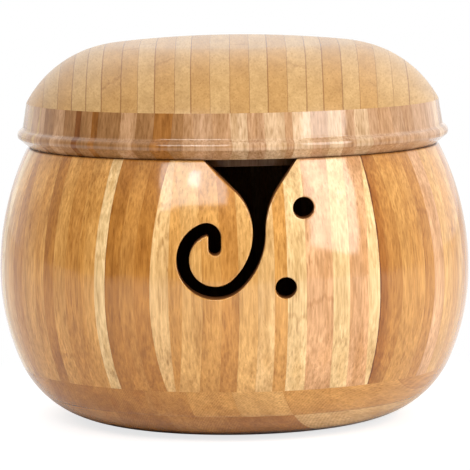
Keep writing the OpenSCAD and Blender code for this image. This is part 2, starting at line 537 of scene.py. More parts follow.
class Sheet:
    """Emptied node tree of a material or a world."""

    def __init__(self, owner: bpy.types.Material | bpy.types.World) -> None:
        """Take over a node tree.

        Args:
            owner: Material or world that has the tree.
        """
        owner.use_nodes = True
        self.tree = owner.node_tree
        self.tree.nodes.clear()

    def add(self, kind: str, links: dict[str | int, object] | None = None,
            **settings: object) -> bpy.types.Node:
        """Add one shader node, set it up and link its inputs.

        Args:
            kind: Blender's name of the node type, without its "ShaderNode".
            links: Inputs by name or place. A socket is linked, anything else is set as the value.
            settings: Properties of the node, by name.

        Returns:
            The new node.
        """
        node = self.tree.nodes.new("ShaderNode" + kind)
        for name, value in settings.items():
            setattr(node, name, value)
        for name, value in (links or {}).items():
            if isinstance(value, bpy.types.NodeSocket):
                self.tree.links.new(value, node.inputs[name])
            else:
                node.inputs[name].default_value = value
        return node

    def maths(self, operation: str, *values: object) -> bpy.types.NodeSocket:
        """Calculate with numbers.

        Args:
            operation: Name of the operation.
            values: Sockets or numbers, in the order of the inputs.

        Returns:
            The result.
        """
        return self.add("Math", dict(enumerate(values)), operation=operation).outputs[0]

    def vectors(self, operation: str, *values: object) -> bpy.types.bpy_prop_collection:
        """Calculate with vectors.

        Args:
            operation: Name of the operation.
            values: Sockets or vectors, in the order of the inputs.

        Returns:
            The outputs, "Vector" and "Value".
        """
        return self.add("VectorMath", dict(enumerate(values)), operation=operation).outputs

    def span(self, value: object, low: float, high: float, at_low: float,
             at_high: float) -> bpy.types.NodeSocket:
        """Map a value smoothly from one range to another.

        Args:
            value: The value.
            low: Start of its range.
            high: End of its range.
            at_low: Result at the start.
            at_high: Result at the end.

        Returns:
            The result.
        """
        return self.add("MapRange", {
            "Value": value, "From Min": low, "From Max": high, "To Min": at_low,
            "To Max": at_high}, interpolation_type="SMOOTHSTEP").outputs[0]

    def mix(self, amount: object, one: object, other: object,
            way: str = "MIX") -> bpy.types.NodeSocket:
        """Mix two colours.

        Args:
            amount: Share of the other colour.
            one: First colour.
            other: Other colour.
            way: Blender's name for the way of mixing.

        Returns:
            The mixed colour.
        """
        return self.add("Mix", {0: amount, 6: one, 7: other},
                        data_type="RGBA", blend_type=way).outputs[2]

    def darken(self, colour: object, amount: object, tint: Tint) -> bpy.types.NodeSocket:
        """Multiply a colour by a tint, as far as the amount says.

        Args:
            colour: The colour.
            amount: From 0 to 1.
            tint: The tint.

        Returns:
            The darker colour.
        """
        return self.mix(amount, colour, tint.value, "MULTIPLY")

    def noise(self, place: object, grain: Grain, lying: bool = False) -> bpy.types.NodeSocket:
        """Add the noise of a pattern.

        Args:
            place: Place on the board, in metres.
            grain: The pattern.
            lying: Whether the fibres run along Y, and not along Z.

        Returns:
            The noise, before it is mapped to the pattern's range.
        """
        wide, long = grain.value.across, grain.value.along
        scale = (wide, long, wide) if lying else (wide, wide, long)
        stretched = self.add("Mapping", {"Vector": place, "Scale": scale}).outputs[0]
        return self.add("TexNoise", {
            "Vector": stretched, "Scale": 1.0, "Detail": grain.value.detail,
            "Roughness": grain.value.rough}).outputs[0]

    def pattern(self, place: object, grain: Grain) -> bpy.types.NodeSocket:
        """Add the noise of a pattern, mapped to its range.

        Args:
            place: Place on the board, in metres.
            grain: The pattern.

        Returns:
            The mapped noise.
        """
        laid = grain.value
        return self.span(self.noise(place, grain), laid.low, laid.high, laid.at_low, laid.at_high)


@dataclass(frozen=True)
class Lacquer:
    """Clear gloss lacquer over the wood."""

    wood_roughness: float = 0.45
    coat_roughness: float = 0.1
    coat_ior: float = 1.5
    coat: float = 1.0


@dataclass(frozen=True)
class Places:
    """Where on the board a point is, in metres, and the number of its strip."""

    point: bpy.types.NodeSocket
    across: bpy.types.NodeSocket
    through: bpy.types.NodeSocket
    along: bpy.types.NodeSocket
    number: bpy.types.NodeSocket
    grain: bpy.types.NodeSocket


@dataclass(frozen=True)
class LaminatedBamboo:
    """Bamboo strips glued face to face and lacquered.

    The strips lie side by side across the board, and their fibres run along it. The eye sees
    their changing tones, thin glue lines, fine fibres with amber stains and dark streaks, and
    lamps mirrored in the lacquer.
    """

    name: str
    strips: list[Strip]
    first: float  # place of the first strip's edge
    turn: float = 0.0  # bearing of the board's middle
    lying: bool = False  # whether the fibres run to the back, and not up
    glue: float = 0.12
    glue_depth: float = 0.86
    streaks: float = 0.4
    stains: float = 0.55
    wander: float = 0.35  # how far a strip's edge strays
    mottle: float = 1.0
    zigzag: float = 0.0
    soak: float = 0.0  # dark edge at the left joint
    half_turn: float = 180 / 7  # from the board's middle to its joint
    lip_shade_within: float = 0.0  # radius within which the lid's lip gets painted shade and less lacquer
    seed: int = 1
    lacquer: Lacquer = field(default_factory=Lacquer)

    def lay_strips(self, sheet: Sheet, across: object) -> list[bpy.types.NodeSocket]:
        """Colour the strips and the dark glue lines between them.

        Args:
            sheet: Node tree of the material.
            across: Place across the board, in metres.

        Returns:
            Colour of the strip, and a number of its own.
        """
        per_ramp = 8  # a ramp holds 32 colours, and too many strips blur its edges
        bluer = 0.35  # glue darkens green and blue more than red
        draw = random.Random(self.seed)
        at = self.first
        shown: list[bpy.types.NodeSocket] = []
        for start in range(0, len(self.strips), per_ramp):
            strips = self.strips[start:start + per_ramp]
            width = sum(strip[0] for strip in strips)
            place = sheet.maths("MULTIPLY_ADD", across, 1 / (width * MM), -at / width)
            ramps = [sheet.add("ValToRGB", {0: place}) for _ in range(2)]
            for node in ramps:
                node.color_ramp.interpolation = "CONSTANT"
                node.color_ramp.elements.remove(node.color_ramp.elements[1])
            tones, numbers = (node.color_ramp.elements for node in ramps)
            edge = 0.0
            for i, (thick, tone) in enumerate(strips):
                colour = linear(tone.value)
                own = draw.random()
                glue = tones.new((edge - self.glue / 2) / width) if i else tones[0]
                glue.color = (*(c * self.glue_depth ** (1 + bluer * k)
                                for k, c in enumerate(colour[:3])), 1.0)
                tones.new((edge + self.glue / 2) / width).color = colour
                number = numbers.new(edge / width) if i else numbers[0]
                number.color = (own, own, own, 1.0)
                edge += thick
            at += width
            layers = [node.outputs[0] for node in ramps]
            if shown:
                beyond = sheet.maths("GREATER_THAN", place, 0.0)
                layers = [sheet.mix(beyond, *pair) for pair in zip(shown, layers)]
            shown = layers
        return shown

    def place(self, sheet: Sheet) -> tuple[Places, bpy.types.NodeSocket]:
        """Find the place on the board and the colour of the strip there.

        Args:
            sheet: Node tree of the material.

        Returns:
            The place and the colour.
        """
        strip_shift = 3.0  # metres, so that no two strips share their marks
        point = sheet.add("TexCoord").outputs["Object"]
        local = sheet.add("VectorRotate", {"Vector": point, "Angle": -math.radians(self.turn)},
                          rotation_type="Z_AXIS").outputs[0]
        across, back, up = sheet.add("SeparateXYZ", {0: local}).outputs
        along, through = (back, up) if self.lying else (up, back)
        sway = sheet.maths("SUBTRACT", sheet.noise(local, Grain.SWAY, self.lying), 0.5)
        swayed = sheet.maths("MULTIPLY_ADD", sway, 2 * self.wander * MM, across)
        tone, number = self.lay_strips(sheet, swayed)
        shifted = sheet.maths("MULTIPLY_ADD", number, strip_shift, along)
        grain = sheet.add("CombineXYZ", {0: across, 1: through, 2: shifted}).outputs[0]
        return Places(point, across, through, along, number, grain), tone

    def lighten(self, sheet: Sheet, at: Places) -> bpy.types.NodeSocket:
        """Work out how fibres, bundles and clouds lighten and darken the wood.

        Args:
            sheet: Node tree of the material.
            at: Place on the board.

        Returns:
            What the colour is multiplied by.
        """
        bundles = (1250, 1250, 110)  # per metre, 0.8 by 9 mm
        mean = 0.92
        fold, spacing = 13 * MM, 0.8 * MM  # of the zigzag end grain
        cells = sheet.add("Mapping", {"Vector": at.grain, "Scale": bundles}).outputs[0]
        bundle = sheet.add("TexVoronoi", {"Vector": cells, "Scale": 1.0}).outputs["Distance"]
        light = sheet.maths("MULTIPLY", sheet.pattern(at.grain, Grain.FIBRE),
                            sheet.span(bundle, low=0.15, high=0.6, at_low=0.86, at_high=1.05))
        for grain in (Grain.CLOUD, Grain.STRAND):
            light = sheet.maths("MULTIPLY", light, sheet.pattern(at.grain, grain))
        light = sheet.maths("MULTIPLY_ADD", sheet.maths("SUBTRACT", light, mean),
                            self.mottle, mean)
        if self.zigzag:
            folded = sheet.maths("ADD", at.through, sheet.maths("PINGPONG", at.across, fold))
            wave = sheet.maths("SINE", sheet.maths("MULTIPLY", folded, 2 * math.pi / spacing))
            light = sheet.maths("MULTIPLY_ADD", wave, self.zigzag, light)
        return light

    def soak_joint(self, sheet: Sheet, at: Places, colour: object) -> bpy.types.NodeSocket:
        """Darken the wood at the left joint, where the finish has soaked in.

        Args:
            sheet: Node tree of the material.
            at: Place on the board.
            colour: Colour so far.

        Returns:
            The darker colour.
        """
        half = math.radians(self.half_turn)
        gap = sheet.maths("SUBTRACT", sheet.maths("MULTIPLY", at.across, math.cos(half)),
                          sheet.maths("MULTIPLY", at.through, math.sin(half)))
        for grain, stray, low, high, depth, tint in (
                (Grain.SOAK, 9.0, 0.5, 6.0, 0.75, Tint.SOAKED),
                (Grain.FRAY, 1.2, 0.25, 0.7, 0.8, Tint.JOINT)):
            rough = sheet.maths("SUBTRACT", sheet.noise(at.grain, grain), 0.5)
            edge = sheet.maths("MULTIPLY_ADD", rough, stray * MM, gap)
            amount = sheet.span(edge, low * MM, high * MM, depth * self.soak, 0.0)
            colour = sheet.darken(colour, amount, tint)
        return colour

    def mark(self, sheet: Sheet, at: Places, colour: object) -> bpy.types.NodeSocket:
        """Add stains, streaks, flecks and the marks of the bamboo's nodes.

        Args:
            sheet: Node tree of the material.
            at: Place on the board.
            colour: Colour so far.

        Returns:
            The marked colour.
        """
        node_gap, stagger = 0.23, 1.9  # metres between nodes, and their shift from strip to strip
        centre, ragged = 0.515, 0.03  # of a node mark, as shares of the gap
        stain = sheet.maths("MULTIPLY", sheet.pattern(at.grain, Grain.STAIN), self.stains)
        colour = sheet.darken(colour, stain, Tint.STAIN)
        if self.soak:
            colour = self.soak_joint(sheet, at, colour)
        streak = sheet.maths("MULTIPLY", sheet.pattern(at.grain, Grain.STREAK),
                             sheet.pattern(at.grain, Grain.PATCH))
        colour = sheet.darken(colour, sheet.maths("MULTIPLY", streak, self.streaks), Tint.STREAK)
        colour = sheet.darken(colour, sheet.pattern(at.grain, Grain.FLECK), Tint.FLECK)
        height = sheet.maths("MULTIPLY_ADD", at.number, stagger, at.along)
        beat = sheet.maths("FRACT", sheet.maths("DIVIDE", height, node_gap))
        beat = sheet.maths("MULTIPLY_ADD", sheet.noise(at.grain, Grain.RAGGED), ragged, beat)
        away = sheet.maths("ABSOLUTE", sheet.maths("SUBTRACT", beat, centre))
        amount = sheet.span(away, low=0.001, high=0.006, at_low=0.4, at_high=0.0)
        return sheet.darken(colour, amount, Tint.NODE_MARK)

    def build(self) -> bpy.types.Material:
        """Build the material.

        Returns:
            The finished material.
        """
        level = (1.0, 1.0, 0.0)
        green_power, blue_power = 1.25, 1.7  # darker wood is redder
        lip_depth, corner_reach = 0.8, 3.5 * MM
        material = bpy.data.materials.new(self.name)
        sheet = Sheet(material)
        at, tone = self.place(sheet)
        light = self.lighten(sheet, at)
        shade = sheet.add("CombineColor", {
            0: light, 1: sheet.maths("POWER", light, green_power),
            2: sheet.maths("POWER", light, blue_power)}).outputs[0]
        colour = self.mark(sheet, at, sheet.mix(1.0, tone, shade, "MULTIPLY"))
        # Skins that face the axis, inside the bowl and under the lid, lose the lacquer and get
        # painted shade.
        outward = sheet.vectors("MULTIPLY", at.point, level)["Vector"]
        normal = sheet.add("NewGeometry").outputs["Normal"]
        facing = sheet.vectors("DOT_PRODUCT", normal, outward)["Value"]
        bare_and_shaded = sheet.maths("LESS_THAN", facing, -0.01)
        colour = sheet.darken(colour, bare_and_shaded, Tint.INSIDE_SHADE)
        # The lid's lip, inside the bowl's mouth, gets painted shade and less lacquer.
        radius = sheet.vectors("LENGTH", outward)["Value"]
        lip = sheet.maths("MULTIPLY", sheet.maths(
            "LESS_THAN", radius, self.lip_shade_within * MM), lip_depth)
        colour = sheet.darken(colour, lip, Tint.LIP_SHADE)
        # Painted shade in corners and crevices, such as under the lid's bead, from ambient
        # occlusion.
        corner = sheet.add("AmbientOcclusion", {"Distance": corner_reach}, samples=8)
        closed = sheet.maths("SUBTRACT", 1.0, corner.outputs["AO"])
        shaded = sheet.span(closed, low=0.25, high=0.8, at_low=0.0, at_high=0.9)
        colour = sheet.darken(colour, shaded, Tint.CORNER)
        # Ripples of 11 mm in the lacquer bend the mirrored lamps.
        ripple = sheet.add("TexNoise", {"Vector": at.point, "Scale": 90.0, "Detail": 1.0})
        wave = sheet.add("Bump", {
            "Strength": 0.25, "Distance": 0.6 * MM, "Height": ripple.outputs[0]})
        kept = sheet.maths("SUBTRACT", 1.0, sheet.maths("MAXIMUM", bare_and_shaded, lip))
        shader = sheet.add("BsdfPrincipled", {
            "Base Color": colour,
            "Roughness": self.lacquer.wood_roughness,
            "Specular IOR Level": 0.0,
            "Coat Weight": sheet.maths("MULTIPLY", self.lacquer.coat, kept),
            "Coat Roughness": self.lacquer.coat_roughness,
            "Coat IOR": self.lacquer.coat_ior,
            "Coat Normal": wave.outputs[0],
        })
        sheet.add("OutputMaterial", {"Surface": shader.outputs[0]})
        return material


@dataclass(frozen=True)
class CutWood:
    """Raw face of the wood inside the slot and the needle holes, a darker brown than the boards.
    """

    name: str = "cut bamboo inside the slot"
    tone: str = "7A4A22"
    lighter: float = 1.5
    roughness: float = 0.5

    def build(self) -> bpy.types.Material:
        """Build the material.

        Returns:
            The finished material.
        """
        material = bpy.data.materials.new(self.name)
        sheet = Sheet(material)
        place = sheet.add("TexCoord").outputs["Object"]
        dark = linear(self.tone)
        light = (*(min(1.0, self.lighter * c) for c in dark[:3]), 1.0)
        tone = sheet.mix(sheet.noise(place, Grain.CUT), dark, light)
        shader = sheet.add("BsdfPrincipled", {"Base Color": tone, "Roughness": self.roughness})
        sheet.add("OutputMaterial", {"Surface": shader.outputs[0]})
        return material


@dataclass
class Wall:
    """Ring of upright boards that makes the wall of the bowl."""

    form: BowlForm
    rows: dict[int, tuple[float, list[Strip]]]  # by board: first edge and strips
    joint: float = 36.0
    boards: int = 7
    strip_t: float = 5.67
    strips: int = 12
    first: float = -34.0
    unseen_seed: int = 40
    unseen_soak: float = 0.3

    def stretches(self) -> list[list[Spot]]:
        """Lay out the half section of a wall board.

        Returns:
            Its smooth runs, from the outer foot over the mouth to the inner foot and back.
        """
        outer, top, inner = self.form.mouth()
        skin = self.form.skin(self.form.wall_foot, outer[0][1])
        skin[-1] = outer[0]
        inside = self.form.skin(self.form.wall_foot, inner[-1][1], self.form.wall_t)
        inside.reverse()
        inside[0] = inner[-1]
        foot = line(inside[-1][:2], skin[0][:2])
        return [skin + outer[1:] + top[1:] + inner[1:] + inside[1:], foot]

    def material(self, index: int) -> bpy.types.Material:
        """Build the finish of a board.

        Args:
            index: Place of the board, 0 in front and growing to the right.

        Returns:
            The finished material.
        """
        draw = random.Random(self.unseen_seed + index)
        tones = [Tone.HONEY, Tone.GOLD, Tone.AMBER, Tone.STRAW, Tone.RUST, Tone.ROSE, Tone.HONEY,
                 Tone.CREAM]
        unseen = (self.first, [(self.strip_t, draw.choice(tones)) for _ in range(self.strips)])
        first, strips = self.rows.get(index, unseen)
        return LaminatedBamboo(
            f"laminated bamboo, wall board {index + 1}", strips, first,
            turn=self.joint + (index - 0.5) * 360 / self.boards, seed=10 + index,
            soak={FRONT: 0.0, RIGHT: 1.0}.get(index, self.unseen_soak)).build()

    def build(self) -> None:
        """Build the boards behind the front one."""
        for index in range(1, self.boards):
            board = Board(f"wall_{index + 1}")
            board.turn(self.stretches(), *sector(self.joint, self.boards, index))
            stand_for(board.build([self.material(index)]), board.node, "bowl")


@dataclass
class Base:
    """Two plies of parallel boards that make the base."""

    form: BowlForm
    rows: dict[str, list[Tone]]
    turn: float = 25.0
    joint: float = -12.5
    width: float = 54.0
    beyond: float = 90.0  # edge of the outer boards before they are turned
    crease: float = 25.0  # degrees from which an edge is sharp

    def stretches(self, upper: bool) -> list[list[Spot]]:
        """Lay out the half section of a ply.

        Args:
            upper: Whether it is the upper ply, into which the floor is turned.

        Returns:
            Its smooth runs.
        """
        form, step = self.form, 6.0
        low, high = (form.ply_t, form.wall_foot) if upper else (0.0, form.ply_t)
        skin = form.skin(low, high)
        runs = [line((0.0, low), (skin[0][0], low), step), skin]
        if not upper:
            return runs + [line((skin[-1][0], high), (0.0, high), step)]
        inside = form.skin(form.floor_h, high, form.wall_t)[::-1]
        floor = line((inside[-1][0], form.floor_h), (0.0, form.floor_h), step)
        return runs + [
            line((skin[-1][0], high), (inside[0][0], high)), inside + floor[1:],
            line((0.0, form.floor_h), (0.0, low)),
        ]

    def saw(self, piece: bpy.types.Object, place: float, way: float) -> None:
        """Cut a turned ply off along a joint.

        Args:
            piece: The turned ply.
            place: Place of the joint across the boards.
            way: 1 to cut off what lies to the right, -1 to the left.
        """
        turn = math.radians(self.turn)
        across = Vector((math.cos(turn), -math.sin(turn), 0.0))
        mesh = bmesh.new()
        mesh.from_mesh(piece.data)
        cut = bmesh.ops.bisect_plane(
            mesh, geom=mesh.verts[:] + mesh.edges[:] + mesh.faces[:],
            plane_co=across * place * MM, plane_no=across * way, clear_outer=True)
        rim = [part for part in cut["geom_cut"] if isinstance(part, bmesh.types.BMEdge)]
        bmesh.ops.contextual_create(mesh, geom=rim)
        mesh.to_mesh(piece.data)
        mesh.free()

    def build(self) -> None:
        """Build the six boards."""
        right = self.joint + self.width
        edges = {"left": (-self.beyond, self.joint), "middle": (self.joint, right),
                 "right": (right, self.beyond)}
        for node, tones in self.rows.items():
            ply, _, side = node.split("_")
            start, end = edges[side]
            board = Board(node)
            board.turn(self.stretches(ply == "upper"), 0, 360, 2.0)
            strips = [((end - start) / len(tones), tone) for tone in tones]
            finish = LaminatedBamboo(
                f"laminated bamboo, {ply} base board {side}", strips, start, turn=-self.turn,
                lying=True, glue=0.1, glue_depth=0.9, streaks=0.15, mottle=0.8, zigzag=0.07,
                seed=len(node)).build()
            piece = board.build([finish])
            for place, way in ((start, -1.0), (end, 1.0)):
                if abs(place) < self.form.belly_r:
                    self.saw(piece, place, way)
            piece.data.set_sharp_from_angle(angle=math.radians(self.crease))
            stand_for(piece, node, "bowl")


@dataclass(frozen=True)
class SlotForm:
    """Sizes of the yarn slot and the needle holes, as seen from the front."""

    width: float = 3.9
    curl: tuple[float, float] = (-5.9, 58.5)
    curl_r: float = 9.8
    hook_rise: float = 6.9
    tail: float = 3.4
    sweep_r: float = 21.1
    sweep_from: float = 312.0
    left_r: float = 16.5
    left_lean: float = 45.5
    right_r: float = 23.0
    right_lean: float = 35.0
    needle_d: float = 6.5
    needles: tuple[tuple[float, float], ...] = ((21.2, 73.7), (15.6, 49.9))
    eased: float = 0.48
    eased_inside: float = 0.15
    eased_mouth: float = 0.08

    def flank(self, spot: Spot, lean: float, top: float) -> list[Spot]:
        """Follow a straight side of the funnel upwards.

        Args:
            spot: End of the arc below it.
            lean: Its lean in degrees, negative to the left.
            top: Height at which it ends.

        Returns:
            Its points after the first.
        """
        slope = math.radians(lean)
        length = (top - spot[1]) / math.cos(slope)
        end = (spot[0] + math.sin(slope) * length, top)
        return onward(spot[:2], end, spot[2:], max(2, round(length / 0.6)))

    def outline(self, top: float) -> list[Spot]:
        """Follow the edge of the slot from the right of the funnel, round the curl, to its left.

        Args:
            top: Height at which the outline starts and ends.

        Returns:
            Place across, height, and the way into the wood at each point.
        """
        half, (cx, cz), r, step = self.width / 2, self.curl, self.curl_r, 0.5
        hook_r = (r * r - self.hook_rise ** 2) / (2 * r)
        hook_a = math.degrees(math.atan2(self.hook_rise, -hook_r))
        hook_z, hook_x = cz + self.hook_rise, cx - hook_r
        tail_z = hook_z - self.tail
        turn, sweep_a = math.radians(self.sweep_from), self.sweep_from - 360
        sx = cx + (r - self.sweep_r) * math.cos(turn)
        sz = cz + (r - self.sweep_r) * math.sin(turn)
        neck = sx + self.sweep_r
        left = arc(neck - half - self.left_r, sz, self.left_r, 0, self.left_lean, -1, step)
        right = arc(neck + half + self.right_r, sz, self.right_r, 180 - self.right_lean, 180, -1,
                    step)
        spots = self.flank(right[0], self.right_lean, top)[::-1] + right
        spots += arc(sx, sz, self.sweep_r + half, 0, sweep_a, 1, step)[1:]
        spots += arc(cx, cz, r + half, self.sweep_from, hook_a, 1, step)[1:]
        spots += arc(hook_x, hook_z, hook_r + half, hook_a, 0, 1, 0.4)[1:]
        spots += onward((cx + half, hook_z), (cx + half, tail_z), (1.0, 0.0), 6)[:-1]
        spots += arc(cx, tail_z, half, 0, -180, 1, 0.35)
        spots += onward((cx - half, tail_z), (cx - half, hook_z), (-1.0, 0.0), 6)[:-1]
        spots += arc(hook_x, hook_z, hook_r - half, 0, hook_a, -1, 0.18)
        spots += arc(cx, cz, r - half, hook_a, self.sweep_from, -1, step)[1:]
        spots += arc(sx, sz, self.sweep_r - half, sweep_a, 0, -1, step)[1:]
        return spots + left[1:] + self.flank(left[-1], -self.left_lean, top)


def inside(place: np.ndarray, rim: np.ndarray) -> bool:
    """Tell whether a place lies inside a closed outline.

    Args:
        place: The place.
        rim: Points of the outline.

    Returns:
        Whether it lies inside.
    """
    after = np.roll(rim, -1, axis=0)
    crossed = (rim[:, 1] > place[1]) != (after[:, 1] > place[1])
    a, b = rim[crossed], after[crossed]
    meets = a[:, 0] + (place[1] - a[:, 1]) / (b[:, 1] - a[:, 1]) * (b[:, 0] - a[:, 0])
    return bool(np.count_nonzero(meets > place[0]) % 2)


class FrontBoard:
    """Front board of the wall, with the yarn slot and the needle holes cut through it.

    Its skin is filled in an unrolled plan: bearing times a radius across, and length along the
    half section.
    """

    UNROLL = 70.0
    COLUMN = 0.8  # degrees
    CLEAR = 0.35  # from a cut to the nearest point of the grid
    FADE = 3.0  # height over which the slot's rounding fades out below the mouth
    ABOVE = 0.02  # height over the mouth rounding's start from which it is crossed
    WOOD, CUT = 0, 1  # places of the finishes

    def __init__(self, wall: Wall, slot: SlotForm) -> None:
        """Lay out the skin of the board.

        Args:
            wall: Wall that the board is part of.
            slot: What is cut through it.
        """
        self.wall, self.slot = wall, slot
        self.board = Board("wall_front")
        self.start, self.end = sector(wall.joint, wall.boards, FRONT)
        self.run = wall.stretches()[0]
        self.lengths = [0.0]
        for a, b in zip(self.run, self.run[1:]):
            self.lengths.append(self.lengths[-1] + math.dist(a[:2], b[:2]))
        self.crest = max(range(len(self.run)), key=lambda i: (self.run[i][1], -i))
        self.plan: list[tuple[float, float]] = []
        self.numbers: list[int] = []
        self.skin_normals: dict[int, Point] = {}

    def lay(self, length: float, point: Point, normal: Point) -> int:
        """Add a point of the skin, with its place in the plan.

        Args:
            length: Length along the half section.
            point: The point.
            normal: The way the skin faces there.

        Returns:
            Place of the point in the plan's list.
        """
        number = self.board.point(*point)
        self.plan.append((math.atan2(point[0], -point[1]) * self.UNROLL, length))
        self.numbers.append(number)
        self.skin_normals[number] = normal
        return len(self.plan) - 1

    def on_skin(self, x: float, z: float, inner: bool) -> tuple[float, float, Point]:
        """Find the skin behind a place seen from the front.

        Args:
            x: Place across.
            z: Height.
            inner: Whether the inner skin is meant.

        Returns:
            Depth along Y, length along the half section and the way the skin faces.
        """
        part = range(self.crest, len(self.run))[::-1] if inner else range(self.crest + 1)
        heights = [self.run[i][1] for i in part]
        rows = [[self.run[i][k] for i in part] for k in (0, 2, 3)]
        rows.append([self.lengths[i] for i in part])
        radius, out, up, length = (float(np.interp(z, heights, row)) for row in rows)
        y = -math.sqrt(max(0.0, radius * radius - x * x))
        return y, length, on_bearing(out, up, math.degrees(math.atan2(x, -y)))

    def rib(self, spot: Spot, eased: float) -> tuple[list[int], int, int]:
        """Build the edge of a cut at one place, from the outer skin to the inner skin.

        Args:
            spot: Point of the cut's outline.
            eased: Width of the rounding on the outer skin.

        Returns:
            Numbers of its points, and its first and last place in the plan.
        """
        x, z, nx, nz = spot
        steps = 4
        ends: list[int] = []
        sides: list[list[int]] = []
        for inner in (False, True):
            way, reach = (-1, min(eased, self.slot.eased_inside)) if inner else (1, eased)
            points = []
            for k in range(steps + 1):
                turn = math.pi / 2 * k / steps
                off = reach * (1 - math.sin(turn))
                px, pz = x + nx * off, z + nz * off
                y, length, skin = self.on_skin(px, pz, inner)
                place = (px, y + way * reach * (1 - math.cos(turn)), pz)
                if k == 0:
                    ends.append(self.lay(length, place, skin))
                    points.append(self.numbers[-1])
                else:
                    normal = Vector(skin) * math.cos(turn) - Vector((nx, 0.0, nz)) * math.sin(turn)
                    points.append(self.board.point(*place))
                    self.skin_normals[points[-1]] = tuple(normal)
            sides.append(points)
        return sides[0] + sides[1][::-1], ends[0], ends[1]

    def join_ribs(self, ribs: list[list[int]], closed: bool) -> None:
        """Join neighbouring ribs with faces.

        Args:
            ribs: Points of each rib.
            closed: Whether the last rib meets the first.
        """
        middle = len(ribs[0]) // 2 - 1
        for i in range(0 if closed else 1, len(ribs)):
            for k in range(len(ribs[0]) - 1):
                corners = [ribs[i - 1][k], ribs[i][k], ribs[i][k + 1], ribs[i - 1][k + 1]]
                normals = [self.skin_normals[c] for c in corners]
                self.board.face(corners, normals, self.CUT if k == middle else self.WOOD)

    def crossing(self, spot: Spot, top: float) -> list[int]:
        """Carry one side of the funnel over the mouth edge.

        Args:
            spot: End of the slot's outline.
            top: Height above which the mouth edge is rounded.

        Returns:
            Places in the plan, from outside to inside.
        """
        places = []
        for section, length in zip(self.run, self.lengths):
            if section[1] > top + self.ABOVE:
                x = spot[0] + spot[2] * self.slot.eased_mouth
                x -= (section[1] - spot[1]) * spot[3] / spot[2]
                y = -math.sqrt(section[0] ** 2 - x * x)
                normal = on_bearing(section[2], section[3], math.degrees(math.atan2(x, -y)))
                places.append(self.lay(length, (x, y, section[1]), normal))
        return places

    def build(self) -> None:
        """Cut the slot and the holes, fill the skin and let the piece stand for its node."""
        slot, top = self.slot, self.wall.form.mouth_h - self.wall.form.ease
        outline = slot.outline(top)
        ribs = []
        for spot in outline:
            fade = max(0.0, min(1.0, (top - spot[1]) / self.FADE))
            ribs.append(self.rib(spot, slot.eased_mouth + (slot.eased - slot.eased_mouth) * fade))
        self.join_ribs([rib[0] for rib in ribs], False)
        left, right = self.crossing(outline[-1], top), self.crossing(outline[0], top)
        hole = [rib[1] for rib in ribs] + left + [rib[2] for rib in ribs[::-1]] + right[::-1]
        holes = [hole]
        for rib, places, spot in ((ribs[-1], left, outline[-1]), (ribs[0], right, outline[0])):
            cap = rib[0] + [self.numbers[i] for i in places[::-1]]
            self.board.flat(cap, (-spot[2], 0.0, -spot[3]), self.CUT)
        for x, z in slot.needles:
            ribs = [self.rib(spot, slot.eased)
                    for spot in arc(x, z, slot.needle_d / 2, 0, 360, 1, 0.45)[:-1]]
            self.join_ribs([rib[0] for rib in ribs], True)
            holes += [[rib[1] for rib in ribs], [rib[2] for rib in ribs]]
        self.fill_skin(holes)
        piece = self.board.build([self.wall.material(FRONT), CutWood().build()])
        stand_for(piece, self.board.node, "bowl")

    def fill_skin(self, holes: list[list[int]]) -> None:
        """Fill the skin between the cuts and close the foot and the ends.

        Args:
            holes: Edges of the cuts in the plan.
        """
        rims = [np.array([self.plan[i] for i in hole]) for hole in holes]
        edges = np.concatenate(rims)
        columns = math.ceil((self.end - self.start) / self.COLUMN)
        grid: dict[tuple[int, int], int] = {}
        for j, (section, length) in enumerate(zip(self.run, self.lengths)):
            for i in range(columns + 1):
                bearing = self.start + (self.end - self.start) * i / columns
                place = np.array((math.radians(bearing) * self.UNROLL, length))
                near = np.hypot(*(edges - place).T).min() < self.CLEAR
                if 0 < i < columns and (near or any(inside(place, rim) for rim in rims)):
                    continue
                grid[i, j] = self.lay(length, on_bearing(*section[:2], bearing),
                                      on_bearing(*section[2:], bearing))
        rim_edges = [(hole[k - 1], hole[k]) for hole in holes for k in range(len(hole))]
        spots, _, faces, sources, _, _ = delaunay_2d_cdt(
            [Vector(place) for place in self.plan], rim_edges, [], 0, 1e-6)
        for face in faces:
            middle = np.mean([tuple(spots[k]) for k in face], axis=0)
            if not any(inside(middle, rim) for rim in rims):
                corners = [self.numbers[sources[k][0]] for k in face]
                self.board.face(corners, [self.skin_normals[c] for c in corners])
        last = len(self.run) - 1
        for i in range(columns):
            foot = [grid[i, 0], grid[i + 1, 0], grid[i + 1, last], grid[i, last]]
            self.board.flat([self.numbers[c] for c in foot], (0.0, 0.0, -1.0))
        for i, way, bearing in ((0, -1.0, self.start), (columns, 1.0, self.end)):
            end = [self.numbers[grid[i, j]] for j in range(last + 1)]
            self.board.flat(end, on_bearing(way, 0.0, bearing + 90))


